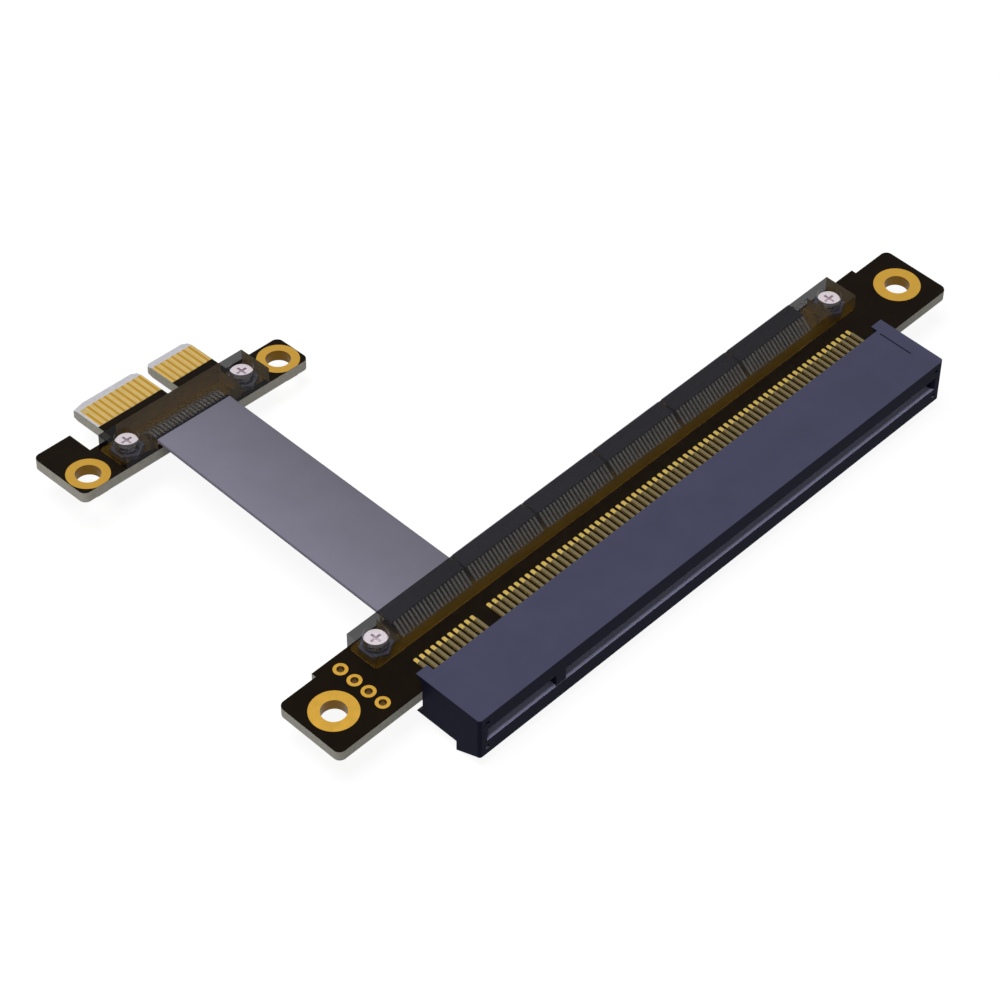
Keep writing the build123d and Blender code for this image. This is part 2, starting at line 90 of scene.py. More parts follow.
class CableSizes(bpy.types.PropertyGroup):
    """Sizes of the small parts that are added to the boards."""
    pitch: length("Contact pitch", 1.0, "Distance from one contact to the next")
    key_gap: length("Key gap", 3.0, "Distance across the key between the two contact groups")
    near_count: IntProperty(name="Near contacts", default=11, min=1,
                            description="Contacts before the key")
    far_count: IntProperty(name="Far contacts", default=71, min=1,
                           description="Contacts after the key")
    pad_length: length("Pad length", 4.5, "Length of a contact pad along the board")
    pad_width: length("Pad width", 0.57, "Width of a contact pad")
    bare_margin: length("Bare margin", 0.6, "Bare laminate beside the first and last finger")
    finger_width: length("Finger width", 0.7, "Width of a gold finger")
    pad_round: length("Pad rounding", 0.171, "Rounding of a contact pad's outer corners")
    foil: length("Foil", 0.035, "Thickness of plated foil on the boards")
    tail_setback: length("Tail setback", 0.9, "Bare length of pad in front of a contact tail")
    ribbon_width: length("Ribbon width", 12.91, "Width of the ribbon's jacket")
    ribbon_thickness: length("Ribbon thickness", 0.76, "Thickness of the ribbon's jacket")
    ribbon_round: length("Ribbon rounding", 0.3, "Rounding of the ribbon's long edges")
    ribbon_inset: length("Ribbon inset", 2.15, "How far a ribbon reaches in under a cover")
    plug_inset: length("Plug inset", 0.4, "How far the ribbon reaches in under the plug's cover")
    wire_width: length("Wire width", 0.32, "Width of a flat wire")
    wire_thickness: length("Wire thickness", 0.3, "Thickness of a flat wire")
    wire_pitch: length("Wire pitch", 0.635, "Distance from one wire to the next")
    wire_run: length("Wire run", 1.6, "How far a wire goes while it comes down to the board")
    wire_count: IntProperty(name="Wires", default=20, min=1, description="Wires of one ribbon")
    stub_width: length("Stub width", 12.95, "Width of the solid that a stub's jacket replaces")
    stub_pitch: length("Stub pitch", 13.17, "From one ribbon stub to the next")
    stub_count: IntProperty(name="Stubs", default=5, min=1, description="Ribbon stubs")
    contact_width: length("Contact width", 0.5, "Width of a contact's strip")
    # Where the painted light lies on the mouth's floor and on the floors of the small pits
    mouth_depth: length("Mouth depth", 6.0, "How far in from its face the mouth's floor is pale")
    mouth_drop: length("Mouth drop", 2.0, "From the socket's top down to inside its mouth")
    floor_fade: length("Floor fade", 0.9, "How far in the mouth's floor turns fully pale")
    pit_depth: length("Pit depth", 0.5, "From the socket's face to the floors of its small pits")
    pit_margin: length("Pit margin", 0.05, "How near to the pit depth a face has to be")
    card_drop: length("Card drop", 3.575, "From the socket's top down to the middle of a card")
    key_width: length("Key width", 1.75, "Width of the key in the mouth")
    key_depth: length("Key depth", 1.35, "How far the key's nose reaches in from the socket's face")
    nose_gap: length("Nose gap", 0.02, "From the key's nose to the socket's face")
    lead_depth: length("Lead-in depth", 0.35, "Depth of the mouth's sloped lead-in")
    mouth_height: length("Mouth height", 1.75, "Height of the mouth behind its lead-in")
    lead_rise: length("Lead-in rise", 0.18, "How much the lead-in opens above and below")
    edge_gap: length("Edge gap", 0.3, "Bare board between a ground area and the board's edge")
    hole_radius: length("Power hole radius", 0.53, "Radius of the lined power holes")
    first_hole: length("First power hole", 27.2378, "Place along X of the hole nearest the socket")
    hole_row_gap: length("Power row gap", 3.12, "From the socket's cover to the row of power holes")
    ring_radius: length("Power ring radius", 1.0, "Radius of the gold rings round them")
    hole_pitch: length("Power hole pitch", 2.54, "Distance between the power holes")
    hole_count: IntProperty(name="Power holes", default=4, min=1, description="Power holes in a row")
    plug_cover_depth: length("Plug cover depth", 5.55, "Depth of the plug's cover along the ribbon")
    doorway_gap: length("Doorway gap", 0.9, "Bare board from the ribbon's doorway to the ground area")
    plug_cover_length: length("Plug cover length", 25.4, "Length of the plug's cover")
    wall_margin: length("Wall margin", 1.2, "Clear end of the plug cover's long wall")
    plug_cover_offset: length("Plug cover offset", 0.74,
                              "From the ribbon's middle to the middle of the plug's cover")


class CableHang(bpy.types.PropertyGroup):
    """How the plug end hangs on its ribbon: turned about the place where the ribbon leaves it."""
    hinge: FloatVectorProperty(name="Hinge", subtype="XYZ", unit="LENGTH", size=3,
                               default=(-24.7122 * MM, -33.40 * MM, 7.80 * MM),
                               description="Middle of the ribbon at the face of the plug's cover")
    twist: FloatProperty(name="Twist", default=-4.0, description="Turn about X, in degrees")
    droop: FloatProperty(name="Droop", default=-3.2, description="Turn about Y, in degrees")


class CableColours(bpy.types.PropertyGroup):
    """Colours of the finishes, and how much light the covers take."""
    mask: colour("Solder mask", "#140d06", "Black solder mask on the boards")
    laminate: colour("Laminate", "#d9d6c9", "Bare glass fibre laminate at cut edges")
    bevel: colour("Bevel", "#cfced4", "Bare laminate of the bevelled lead edge")
    tongue: colour("Tongue", "#ccb478", "Bare laminate between the gold fingers")
    gold: colour("Gold", "#bf943a", "Gold plating")
    pad: colour("Pad", "#bba156", "Gold plating on the contact pads, paled by solder")
    # Painted shade: the plating in the holes and on upright faces is drawn in this darker tone
    barrel_shade: colour("Barrel", "#6c4e1c", "Gold plating inside the holes")
    finger: colour("Finger", "#b08830", "Gold plating along the middle of a finger")
    rim: colour("Finger rim", "#dabd76", "Gold plating along the rims of a finger")
    contact: colour("Contact", "#6e6348", "Stamped and tinned contact metal")
    # Lit and shaded copies of the body's one colour: level faces with a painted sheen, upright walls
    # with painted shade
    housing: colour("Housing", "#4a4b61", "Moulded socket body")
    wall: colour("Housing walls", "#1f2033", "Upright walls of the moulded socket body")
    # Painted light on the floors of the mouth and of the small pits
    mouth: colour("Housing mouth", "#b2b3d8", "Floor of the socket's mouth")
    mouth_deep_light: colour("Mouth, deeper in", "#dddfff", "Floor of the socket's mouth, deeper in")
    # Painted shade across the ribbon: paler at its near edge, darker at its far edge
    ribbon: colour("Ribbon", "#817e8e", "Ribbon jacket at its near edge")
    ribbon_far_shade: colour("Ribbon far edge", "#6d6c78", "Ribbon jacket at its far edge")
    smoke: colour("Smoke", "#08080a", "Tinted clear covers")
    wire: colour("Wire", "#fbf8f4", "Tinned wire")
    steel: colour("Steel", "#d2c8ce", "Nickel plated screws")
    spacer: colour("Spacer", "#c8c8e4", "Nickel plated spacers under the screws")
    # Painted reflection of the gold, drawn on a cover's far walls where they are seen from inside
    mirrored: colour("Mirrored gold", "#ffdc8e", "Gold as a cover's far walls mirror it")
    tint: share("Tint", 0.915, "What a cover takes of the light, where a line of sight enters it")
    clear: share("Clear", 0.03, "What each further face of a cover takes")
    # Strength of the painted reflection on a cover's far walls
    mirror: share("Mirror", 0.92, "How strongly a cover's far walls mirror the gold")


class CableCamera(bpy.types.PropertyGroup):
    """The camera, by where it looks and from which side."""
    target: FloatVectorProperty(name="Target", subtype="XYZ", unit="LENGTH", size=3,
                                default=(13.458 * MM, -14.10 * MM, 6.30 * MM),
                                description="Point at the middle of the picture")
    azimuth: FloatProperty(name="Azimuth", default=-44.34, description="Turn round Z, in degrees")
    elevation: FloatProperty(name="Elevation", default=47.18,
                             description="Angle above the horizon, in degrees")
    roll: FloatProperty(name="Roll", default=0.40, description="Turn about the view, in degrees")
    distance: length("Distance", 444.6, "From the camera to its target")
    lens: FloatProperty(name="Lens", default=122.15, description="Focal length, in millimetres")


class CableStudio(bpy.types.PropertyGroup):
    """The paper on the floor, the sky and the lamp."""
    paper_size: length("Paper size", 6000, "Width of the paper on the floor")
    paper_grey: share("Paper grey", 0.12, "What the seen paper returns of the light that falls on it")
    paper_glow: share("Paper glow", 0.92, "The seen paper's own even white")
    paper_bounce: share("Paper bounce", 0.3, "What the paper returns to the boards")
    sky_light: share("Sky light", 0.16, "Strength of the sky where it lights the parts")
    sky_white: share("Sky white", 1.0, "Strength of the sky where it is seen or mirrored")
    lamp_place: FloatVectorProperty(name="Lamp place", subtype="XYZ", unit="LENGTH", size=3,
                                    default=(-30 * MM, -160 * MM, 800 * MM),
                                    description="Middle of the lamp, which faces the origin")
    lamp_size: length("Lamp size", 450, "Width of the square lamp")
    lamp_power: FloatProperty(name="Lamp power", unit="POWER", default=5.3, min=0,
                              description="Power of the lamp")


def add(tree, kind, inputs=None, **settings):
    """Adds a node with its settings, and links or sets its inputs."""
    made = tree.nodes.new(kind)
    for name, value in settings.items():
        setattr(made, name, value)
    for name, value in (inputs or {}).items():
        socket = made.inputs[name]
        if isinstance(value, bpy.types.NodeSocket):
            tree.links.new(value, socket)
        else:
            socket.default_value = value
    return made


def rgba(values):
    """Red, green and blue with full alpha, as a colour socket takes them."""
    return (*values, 1.0)


def blank(name):
    """A new material, its empty node tree and the Object coordinates in it."""
    material = bpy.data.materials.new(name)
    material.use_nodes = True
    tree = material.node_tree
    tree.nodes.clear()
    return material, tree, add(tree, "ShaderNodeTexCoord").outputs["Object"]


def close(tree, shader):
    """Ends a material's tree with its shader."""
    add(tree, "ShaderNodeOutputMaterial", {"Surface": shader.outputs[0]})


def grain(tree, coords, size, low, high):
    """Noise whose features have a real size in metres, spread between two values."""
    noise = add(tree, "ShaderNodeTexNoise",
                {"Vector": coords, "Scale": 1 / size, "Detail": 2.0, "Roughness": 0.6})
    return add(tree, "ShaderNodeMapRange",
               {"Value": noise.outputs["Fac"], "From Min": 0.3, "From Max": 0.7,
                "To Min": low, "To Max": high}).outputs["Result"]


def clouded(tree, coords, tone, size, low, high):
    """A tone that runs darker and lighter in clouds of a real size."""
    cloud = grain(tree, coords, size, low, high)
    return add(tree, "ShaderNodeMix", {"Factor": 1.0, "A": tone, "B": cloud},
               data_type="RGBA", blend_type="MULTIPLY").outputs["Result"]


def facing(tree):
    """How far a surface's normal reaches along X, Y and Z."""
    normal = add(tree, "ShaderNodeNewGeometry").outputs["Normal"]
    return add(tree, "ShaderNodeSeparateXYZ", {"Vector": normal}).outputs


def unsigned(tree, value):
    """A value without its sign."""
    return add(tree, "ShaderNodeMath", {0: value}, operation="ABSOLUTE").outputs[0]


def within(tree, tests):
    """1 where every test holds and otherwise 0, from each test's value, limit and comparison."""
    held = 1.0
    for value, limit, comparison in tests:
        passed = add(tree, "ShaderNodeMath", {0: value, 1: limit}, operation=comparison)
        held = add(tree, "ShaderNodeMath", {0: held, 1: passed.outputs[0]},
                   operation="MULTIPLY").outputs[0]
    return held


def most(tree, values):
    """The greatest of some values."""
    top = values[0]
    for value in values[1:]:
        top = add(tree, "ShaderNodeMath", {0: top, 1: value}, operation="MAXIMUM").outputs[0]
    return top


def laminate_board(colours, name, bare, margin):
    """Glass fibre laminate under black solder mask: satin faces, and pale cut edges.

    Where bare gives the low and high corners of the fingers, the mask is left off there and in a
    margin beside them, so that the laminate shows round the gold fingers.
    """
    material, tree, coords = blank(name)
    place = add(tree, "ShaderNodeSeparateXYZ", {"Vector": coords}).outputs
    lean = unsigned(tree, facing(tree)["Z"])
    face = within(tree, [(lean, SQUARE, "GREATER_THAN")])
    slope = within(tree, [(lean, BEVELLED, "GREATER_THAN")])
    covered = face
    edge = add(tree, "ShaderNodeMix", {"Factor": slope, "A": rgba(colours.laminate),
                                       "B": rgba(colours.bevel)}, data_type="RGBA")
    if bare:
        low, high = bare
        window = within(tree, [(place["X"], high.x, "LESS_THAN"),
                               (place["Y"], low.y - margin, "GREATER_THAN"),
                               (place["Y"], high.y + margin, "LESS_THAN")])
        covered = add(tree, "ShaderNodeMath", {0: face, 1: window},
                      operation="SUBTRACT", use_clamp=True).outputs[0]
        between = within(tree, [(lean, SQUARE, "GREATER_THAN"),
                                (place["Y"], low.y, "GREATER_THAN")])
        edge = add(tree, "ShaderNodeMix", {"Factor": between, "A": edge.outputs["Result"],
                                           "B": rgba(colours.tongue)}, data_type="RGBA")
    # The glass cloth's bundles are about 0.5 mm wide and show faintly at the cut edges
    woven = clouded(tree, coords, edge.outputs["Result"], 0.5 * MM, 0.9, 1.06)
    mask = clouded(tree, coords, rgba(colours.mask), 3 * MM, 0.85, 1.25)
    base = add(tree, "ShaderNodeMix", {"Factor": covered, "A": woven, "B": mask},
               data_type="RGBA")
    rough = add(tree, "ShaderNodeMapRange", {"Value": covered, "To Min": 0.6, "To Max": 0.42})
    shader = add(tree, "ShaderNodeBsdfPrincipled",
                 {"Base Color": base.outputs["Result"], "Roughness": rough.outputs["Result"],
                  "IOR": 1.5, "Specular IOR Level": 0.03})
    close(tree, shader)
    return material


def metal_skin(tree, coords, tone, metallic, size, smooth, rough):
    """Ends a metal: its tone, and a roughness that varies in patches of a real size."""
    uneven = grain(tree, coords, size, smooth, rough)
    shader = add(tree, "ShaderNodeBsdfPrincipled",
                 {"Base Color": tone, "Metallic": metallic, "Roughness": uneven})
    close(tree, shader)


def plated_gold(colours, name, face):
    """Nickel gold plating on copper foil: a warm metal, a little uneven, with painted shade in the
    holes.
    """
    material, tree, coords = blank(name)
    lean = unsigned(tree, facing(tree)["Z"])
    # Upright faces, such as the hole walls, take the darker tone as painted shade
    level = add(tree, "ShaderNodeMapRange", {"Value": lean, "From Min": 0.3, "From Max": 0.9})
    tone = add(tree, "ShaderNodeMix", {"Factor": level.outputs["Result"],
                                       "A": rgba(colours.barrel_shade), "B": rgba(face)},
               data_type="RGBA")
    metal_skin(tree, coords, tone.outputs["Result"], 1.0, *PLATING)
    return material


def finger_gold(colours, first, pitch):
    """Hard gold on the fingers: darker along the middle, with pale soft rims.

    The middles lie one pitch apart along Y from the first one.
    """
    material, tree, coords = blank("hard_gold_fingers")
    place = add(tree, "ShaderNodeSeparateXYZ", {"Vector": coords}).outputs["Y"]
    start = add(tree, "ShaderNodeMath", {0: place, 1: first}, operation="SUBTRACT").outputs[0]
    phase = add(tree, "ShaderNodeMath", {0: start, 1: 2 * math.pi / pitch},
                operation="MULTIPLY").outputs[0]
    wave = add(tree, "ShaderNodeMath", {0: phase}, operation="COSINE").outputs[0]
    middle = add(tree, "ShaderNodeMapRange", {"Value": wave, "From Min": -0.25, "From Max": 0.45})
    tone = add(tree, "ShaderNodeMix", {"Factor": middle.outputs["Result"],
                                       "A": rgba(colours.rim), "B": rgba(colours.finger)},
               data_type="RGBA")
    metal_skin(tree, coords, tone.outputs["Result"], 1.0, *PLATING)
    return material


def tinned_contact(colours):
    """Stamped bronze strip with a tinned tail: duller and greyer than gold."""
    material, tree, coords = blank("tinned_bronze_strip")
    metal_skin(tree, coords, rgba(colours.contact), 1.0, 0.3 * MM, 0.3, 0.48)
    return material


def moulded_nylon(colours, sizes, corner):
    """Glass filled nylon, moulded in a finely eroded tool: an even satin skin.

    Upright walls are drawn darker than level faces: painted shade on the walls and a painted
    sheen on the level faces. The floors of the mouth and of the small pits are drawn paler, as
    painted light, so that they read as a light strip and light dots. Both are found by
    their place from the socket's upper corner at its face.
    """
    material, tree, coords = blank("moulded_glass_filled_nylon")
    place = add(tree, "ShaderNodeSeparateXYZ", {"Vector": coords}).outputs
    normal = facing(tree)
    # Painted sheen on level faces and painted shade on upright walls, chosen by how far a face looks
    # up
    level = add(tree, "ShaderNodeMapRange",
                {"Value": normal["Z"], "From Min": 0.1, "From Max": 0.9})
    # Painted light on the mouth's floor, found by its place inside the mouth
    inside = within(tree, [(place["X"], corner.x - sizes.mouth_depth, "GREATER_THAN"),
                           (place["Z"], corner.z - sizes.mouth_drop, "LESS_THAN")])
    # The mouth's roof shades its floor more with depth, so the floor's painted light is made paler
    # deeper in
    depth = add(tree, "ShaderNodeMapRange", {"Value": place["X"], "From Min": corner.x,
                                             "From Max": corner.x - sizes.floor_fade})
    floor = add(tree, "ShaderNodeMix", {"Factor": depth.outputs["Result"],
                                        "A": rgba(colours.mouth), "B": rgba(colours.mouth_deep_light)},
                data_type="RGBA")
    face = add(tree, "ShaderNodeMix", {"Factor": inside, "A": rgba(colours.housing),
                                       "B": floor.outputs["Result"]}, data_type="RGBA")
    tone = add(tree, "ShaderNodeMix", {"Factor": level.outputs["Result"], "A": rgba(colours.wall),
                                       "B": face.outputs["Result"]}, data_type="RGBA")
    # Painted light dots on the floors of the small pits
    pit_floor = corner.x - sizes.pit_depth
    pit_light = within(tree, [(normal["X"], SQUARE, "GREATER_THAN"),
                        (place["X"], pit_floor - sizes.pit_margin, "GREATER_THAN"),
                        (place["X"], pit_floor + sizes.pit_margin, "LESS_THAN")])
    tone = add(tree, "ShaderNodeMix", {"Factor": pit_light, "A": tone.outputs["Result"],
                                       "B": rgba(colours.mouth)}, data_type="RGBA")
    base = clouded(tree, coords, tone.outputs["Result"], 6 * MM, 0.94, 1.05)
    # Tool texture of about 0.08 mm, drawn at 0.15 mm so that it shows
    skin = grain(tree, coords, 0.15 * MM, 0.0, 1.0)
    bump = add(tree, "ShaderNodeBump", {"Height": skin, "Strength": 0.1, "Distance": 0.01 * MM})
    shader = add(tree, "ShaderNodeBsdfPrincipled",
                 {"Base Color": base, "Roughness": 0.55, "IOR": 1.53, "Specular IOR Level": 0.02,
                  "Normal": bump.outputs["Normal"]})
    close(tree, shader)
    return material


def extruded_jacket(colours, name, spread, pitch):
    """Soft extruded vinyl: satin, with faint lines along the ribbon over its conductors.

    Its colour runs between two tones over a spread in Y, as painted shade that darkens the jacket
    from its near edge to its far edge.
    """
    material, tree, coords = blank(name)
    place = add(tree, "ShaderNodeSeparateXYZ", {"Vector": coords}).outputs["Y"]
    phase = add(tree, "ShaderNodeMath", {0: place, 1: 2 * math.pi / pitch},
                operation="MULTIPLY").outputs[0]
    ridge = add(tree, "ShaderNodeMath", {0: phase}, operation="SINE").outputs[0]
    # Painted shade across the jacket, darker towards its far edge
    across = add(tree, "ShaderNodeMapRange",
                 {"Value": place, "From Min": spread[0], "From Max": spread[1]})
    tone = add(tree, "ShaderNodeMix", {"Factor": across.outputs["Result"],
                                       "A": rgba(colours.ribbon), "B": rgba(colours.ribbon_far_shade)},
               data_type="RGBA")
    base = clouded(tree, coords, tone.outputs["Result"], 5 * MM, 0.97, 1.03)
    bump = add(tree, "ShaderNodeBump", {"Height": ridge, "Strength": 0.1, "Distance": 0.02 * MM})
    shader = add(tree, "ShaderNodeBsdfPrincipled",
                 {"Base Color": base, "Roughness": 0.5, "IOR": 1.53, "Specular IOR Level": 0.1,
                  "Normal": bump.outputs["Normal"]})
    close(tree, shader)
    return material


def smoke_acrylic(colours, name, span):
    """Tinted clear acrylic: dark to look through, while light still reaches what is under it.

    The tint is taken once, where a line of sight first enters the cover, so that its roof and
    walls look through alike. Its end walls, and its long walls within a span in Y, are then seen
    from inside, where a painted reflection of the gold on the board is drawn on them.
    """
    material, tree, coords = blank(name)
    place = add(tree, "ShaderNodeSeparateXYZ", {"Vector": coords}).outputs["Y"]
    normal = facing(tree)
    end = within(tree, [(unsigned(tree, normal["Y"]), SQUARE, "GREATER_THAN")])
    side = within(tree, [(unsigned(tree, normal["X"]), SQUARE, "GREATER_THAN"),
                         (place, span[0], "GREATER_THAN"), (place, span[1], "LESS_THAN")])
    path = add(tree, "ShaderNodeLightPath").outputs
    inside = within(tree, [(path["Transparent Depth"], 0.5, "GREATER_THAN")])
    indirect = most(tree, [path["Is Shadow Ray"], path["Is Glossy Ray"], path["Is Diffuse Ray"]])
    # Painted reflection of the gold on the far walls, where they are seen from inside
    mirror = within(tree, [(most(tree, [end, side]), 0.5, "GREATER_THAN"),
                           (inside, 0.5, "GREATER_THAN"), (indirect, 0.5, "LESS_THAN")])
    later = most(tree, [inside, indirect])
    tint = add(tree, "ShaderNodeMapRange",
               {"Value": later, "To Min": colours.tint, "To Max": colours.clear})
    alpha = add(tree, "ShaderNodeMath", {0: most(tree, [mirror, tint.outputs["Result"]]),
                                         1: colours.mirror}, operation="MINIMUM").outputs[0]
    tone = add(tree, "ShaderNodeMix", {"Factor": mirror, "A": rgba(colours.smoke),
                                       "B": rgba(colours.mirrored)}, data_type="RGBA")
    shader = add(tree, "ShaderNodeBsdfPrincipled",
                 {"Base Color": tone.outputs["Result"], "Roughness": 0.3, "IOR": 1.49,
                  "Specular IOR Level": 0.1, "Alpha": alpha})
    close(tree, shader)
    return material


def tinned_wire(colours):
    """Tinned copper wire: bright soft grey."""
    material, tree, coords = blank("tinned_copper_wire")
    metal_skin(tree, coords, rgba(colours.wire), 0.2, 0.3 * MM, 0.3, 0.45)
    return material


def nickel_steel(colours):
    """Cold headed steel with nickel plating: bright, with faint headed grain."""
    material, tree, coords = blank("nickel_plated_steel")
    metal_skin(tree, coords, rgba(colours.steel), 1.0, 0.25 * MM, 0.22, 0.34)
    return material


def nickel_spacer(colours):
    """Turned brass with satin nickel plating: pale bluish grey, lit evenly."""
    material, tree, coords = blank("satin_nickel_spacer")
    metal_skin(tree, coords, rgba(colours.spacer), 0.3, 0.25 * MM, 0.4, 0.5)
    return material


def paint(node, material):
    """Gives a CAD node one material all over."""
    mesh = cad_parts[node].data
    mesh.materials.clear()
    mesh.materials.append(material)


def clear_selection():
    """Leaves edit mode and deselects everything."""
    if bpy.context.mode != "OBJECT":
        bpy.ops.object.mode_set(mode="OBJECT")
    bpy.ops.object.select_all(action="DESELECT")


def hang_piece(piece, place):
    """Turns a piece of the level plug end to the way that end hangs on its ribbon."""
    clear_selection()
    piece.select_set(True)
    bpy.context.view_layer.objects.active = piece
    hinge = Matrix.Translation(Vector(place.hinge))
    turn = (Matrix.Rotation(math.radians(place.droop), 4, "Y")
            @ Matrix.Rotation(math.radians(place.twist), 4, "X"))
    piece.matrix_world = hinge @ turn @ hinge.inverted()
    bpy.ops.object.transform_apply(location=True, rotation=True, scale=True)


def hang_end(piece, place, face):
    """Hangs the plug end of a level ribbon, so that it twists from there to the socket's cover.

    The face is where along X the ribbon enters the socket's cover.
    """
    bpy.context.view_layer.objects.active = piece
    piece.select_set(True)
    hinge = Vector(place.hinge)
    bpy.ops.object.mode_set(mode="EDIT")
    for x in (hinge.x, face):
        bpy.ops.mesh.select_all(action="SELECT")
        bpy.ops.mesh.bisect(plane_co=(x, 0, 0), plane_no=(1, 0, 0))
    bpy.ops.mesh.select_mode(type="VERT")
    bpy.ops.mesh.select_all(action="DESELECT")
    bpy.ops.object.mode_set(mode="OBJECT")
    for point in piece.data.vertices:
        point.select = point.co.x < hinge.x + NEAR
    bpy.ops.object.mode_set(mode="EDIT")
    # With no window a rotation runs the other way, so the angles change sign
    for axis, angle in (("X", place.twist), ("Y", place.droop)):
        bpy.ops.transform.rotate(value=-math.radians(angle), orient_axis=axis,
                                 center_override=hinge)
    bpy.ops.object.mode_set(mode="OBJECT")
    half_way = (face - hinge.x) / 2
    for edge in piece.data.edges:
        a, b = (piece.data.vertices[i].co for i in edge.vertices)
        edge.select = abs(a.x - b.x) > half_way
    bpy.ops.object.mode_set(mode="EDIT")
    bpy.ops.mesh.select_mode(type="EDGE")
    bpy.ops.mesh.subdivide(number_cuts=7)
    bpy.ops.object.mode_set(mode="OBJECT")


def plate(name, low, high):
    """A box between two corners, as a new object at the origin."""
    clear_selection()
    low, high = Vector(low), Vector(high)
    bpy.ops.mesh.primitive_cube_add(size=1, location=(low + high) / 2, scale=high - low)
    bpy.ops.object.transform_apply(location=True, rotation=True, scale=True)
    piece = bpy.context.object
    piece.name = name
    piece.data.name = name
    return piece


def choose(piece, kind):
    """Deselects a piece's mesh in a select mode, and leaves it ready to be selected in code."""
    bpy.context.view_layer.objects.active = piece
    piece.select_set(True)
    bpy.ops.object.mode_set(mode="EDIT")
    bpy.ops.mesh.select_mode(type=kind)
    bpy.ops.mesh.select_all(action="DESELECT")
    bpy.ops.object.mode_set(mode="OBJECT")


def choose_faces(piece, chosen):
    """Selects the faces that a test chooses by their normals, and goes to edit mode."""
    choose(piece, "FACE")
    for face in piece.data.polygons:
        face.select = chosen(face.normal)
    bpy.ops.object.mode_set(mode="EDIT")


def round_edges(piece, chosen, radius, segments):
    """Bevels the edges of a piece that a test chooses from their two ends."""
    choose(piece, "EDGE")
    points = piece.data.vertices
    for edge in piece.data.edges:
        a, b = (points[i].co for i in edge.vertices)
        edge.select = chosen(a, b)
    bpy.ops.object.mode_set(mode="EDIT")
    bpy.ops.mesh.bevel(offset=radius, segments=segments, affect="EDGES")
    bpy.ops.object.mode_set(mode="OBJECT")


def repeat(piece, count, step):
    """Repeats a piece in a row."""
    row = piece.modifiers.new("row", "ARRAY")
    row.use_relative_offset = False
    row.use_constant_offset = True
    row.constant_offset_displace = step
    row.count = count
    bpy.context.view_layer.objects.active = piece
    bpy.ops.object.modifier_apply(modifier=row.name)


def trim_corners(piece, size):
    """Cuts the upright corners of a flat plate."""
    round_edges(piece, lambda a, b: abs(a.z - b.z) > NEAR, size, segments=1)


def power_rings(sizes, heights):
    """The lined holes with their rings, through the board, in a row along X."""
    clear_selection()
    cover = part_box("slot_cover")[0]
    place = Vector((sizes.first_hole, cover.y - sizes.hole_row_gap, sum(heights) / 2))
    bpy.ops.mesh.primitive_cylinder_add(vertices=40, radius=sizes.ring_radius,
                                        depth=heights[1] - heights[0], location=place)
    bpy.ops.object.transform_apply(location=True, rotation=True, scale=True)
    piece = bpy.context.object
    piece.name = "power_hole_rings"
    choose_faces(piece, lambda normal: abs(normal.z) > SQUARE)
    bpy.ops.mesh.inset(thickness=sizes.ring_radius - sizes.hole_radius)
    bpy.ops.mesh.bridge_edge_loops()
    bpy.ops.object.mode_set(mode="OBJECT")
    repeat(piece, sizes.hole_count, (-sizes.hole_pitch, 0, 0))
    return piece


def key_nose(sizes, high):
    """The nose of the key that parts the mouth, made higher at the front to fill the lead-in."""
    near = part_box("slot_contacts_top_near")[0].y + sizes.contact_width / 2
    y = near + (sizes.near_count - 1) * sizes.pitch + sizes.key_gap / 2
    middle = Vector((0, y, high.z - sizes.card_drop))
    half = Vector((0, sizes.key_width, sizes.mouth_height)) / 2
    back = Vector((high.x - sizes.key_depth, 0, 0))
    front = Vector((high.x - sizes.lead_depth, 0, 0))
    nose = plate("mouth_key_nose", middle + back - half, middle + front + half)
    choose_faces(nose, lambda normal: normal.x > SQUARE)
    reach = sizes.lead_depth - sizes.nose_gap
    bpy.ops.mesh.extrude_region_move(TRANSFORM_OT_translate={"value": (reach, 0, 0)})
    bpy.ops.transform.resize(value=(1, 1, 1 + 2 * sizes.lead_rise / sizes.mouth_height),
                             center_override=middle + front)
    bpy.ops.object.mode_set(mode="OBJECT")
    return nose


def join(first, second):
    """Joins the second piece into the first."""
    clear_selection()
    second.select_set(True)
    first.select_set(True)
    bpy.context.view_layer.objects.active = first
    bpy.ops.object.join()
    return first


def finish_piece(piece, material):
    """Gives a new piece its material and its body."""
    piece.data.materials.clear()
    piece.data.materials.append(material)
    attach(piece, "root")


def wire_row(sizes, hinge, floor):
    """Flat wires that run level out of the plug's end of the ribbon and then down to the board."""
    x, y, z = hinge
    half = Vector((0, sizes.wire_width, sizes.wire_thickness)) / 2
    first = y - (sizes.wire_count - 1) * sizes.wire_pitch / 2
    bend = x - sizes.ribbon_inset
    wires = plate("plug_wire_row", Vector((bend, first, z)) - half,
                  Vector((x - sizes.plug_inset / 2, first, z)) + half)
    choose_faces(wires, lambda normal: normal.x < -SQUARE)
    drop = z - half.z - floor - sizes.foil
    bpy.ops.mesh.extrude_region_move(
        TRANSFORM_OT_translate={"value": (-sizes.wire_run, 0, -drop)})
    bpy.ops.object.mode_set(mode="OBJECT")
    repeat(wires, sizes.wire_count, (0, sizes.wire_pitch, 0))
    return wires


def pad_row(name, sizes, start, heights):
    """The two groups of pads of one row, from the outer end and middle line of the first pad."""
    x, y = start
    half = sizes.pad_width / 2
    groups = []
    first = 0.0
    for count in (sizes.near_count, sizes.far_count):
        low = (x, y + first - half, heights[0])
        high = (x + sizes.pad_length, y + first + half, heights[1])
        group = plate(name, low, high)
        round_edges(group, lambda a, b: max(a.x, b.x) < x + NEAR and abs(a.z - b.z) > NEAR,
                    sizes.pad_round, segments=3)
        repeat(group, count, (0, sizes.pitch, 0))
        groups.append(group)
        first += (count - 1) * sizes.pitch + sizes.key_gap
    return join(*groups)


